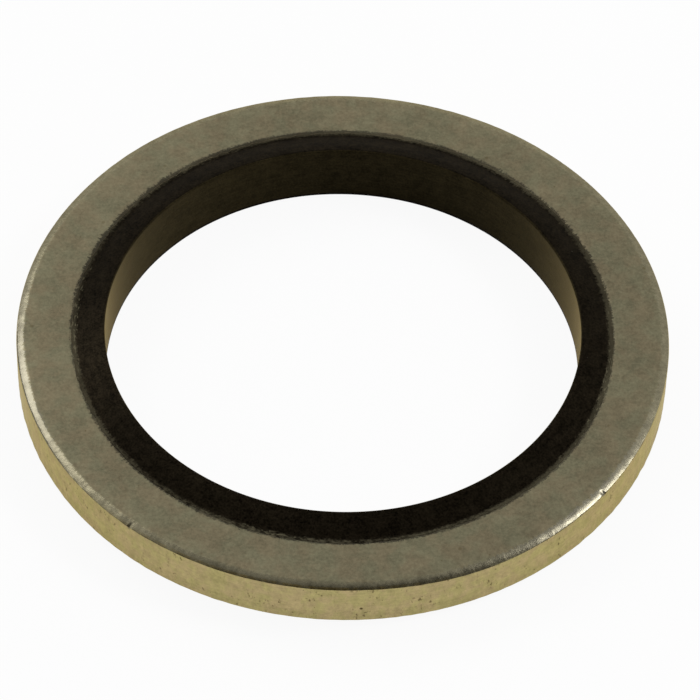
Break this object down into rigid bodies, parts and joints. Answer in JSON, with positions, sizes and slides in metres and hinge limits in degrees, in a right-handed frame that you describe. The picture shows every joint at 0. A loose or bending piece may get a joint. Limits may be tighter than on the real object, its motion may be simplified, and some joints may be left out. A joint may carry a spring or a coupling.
{
  "type": "bonded sealing washer",
  "caption": "Flat steel washer with a black rubber sealing ring bonded into its bore, its lips proud of both faces; seals under a bolt head or fitting.",
  "frame": {"origin": "on the axis of the bore, at the ring's mid-thickness", "axes": "+Z along the bore's axis, out of the face whose rim is rounded by blanking; the washer lies flat and is round about Z"},
  "size_m": [0.0318, 0.0318, 0.0032],
  "materials": {
    "zinc_plated_steel": "dull zinc plate, warm grey on the faces and yellower on the rim, finely pitted and scratched",
    "black_rubber": "matt black moulded nitrile-type rubber with a faint brown sheen"
  },
  "bodies": {
    "root": {"metal_ring": "zinc_plated_steel", "rubber_seal": "black_rubber"}
  },
  "joints": []
}
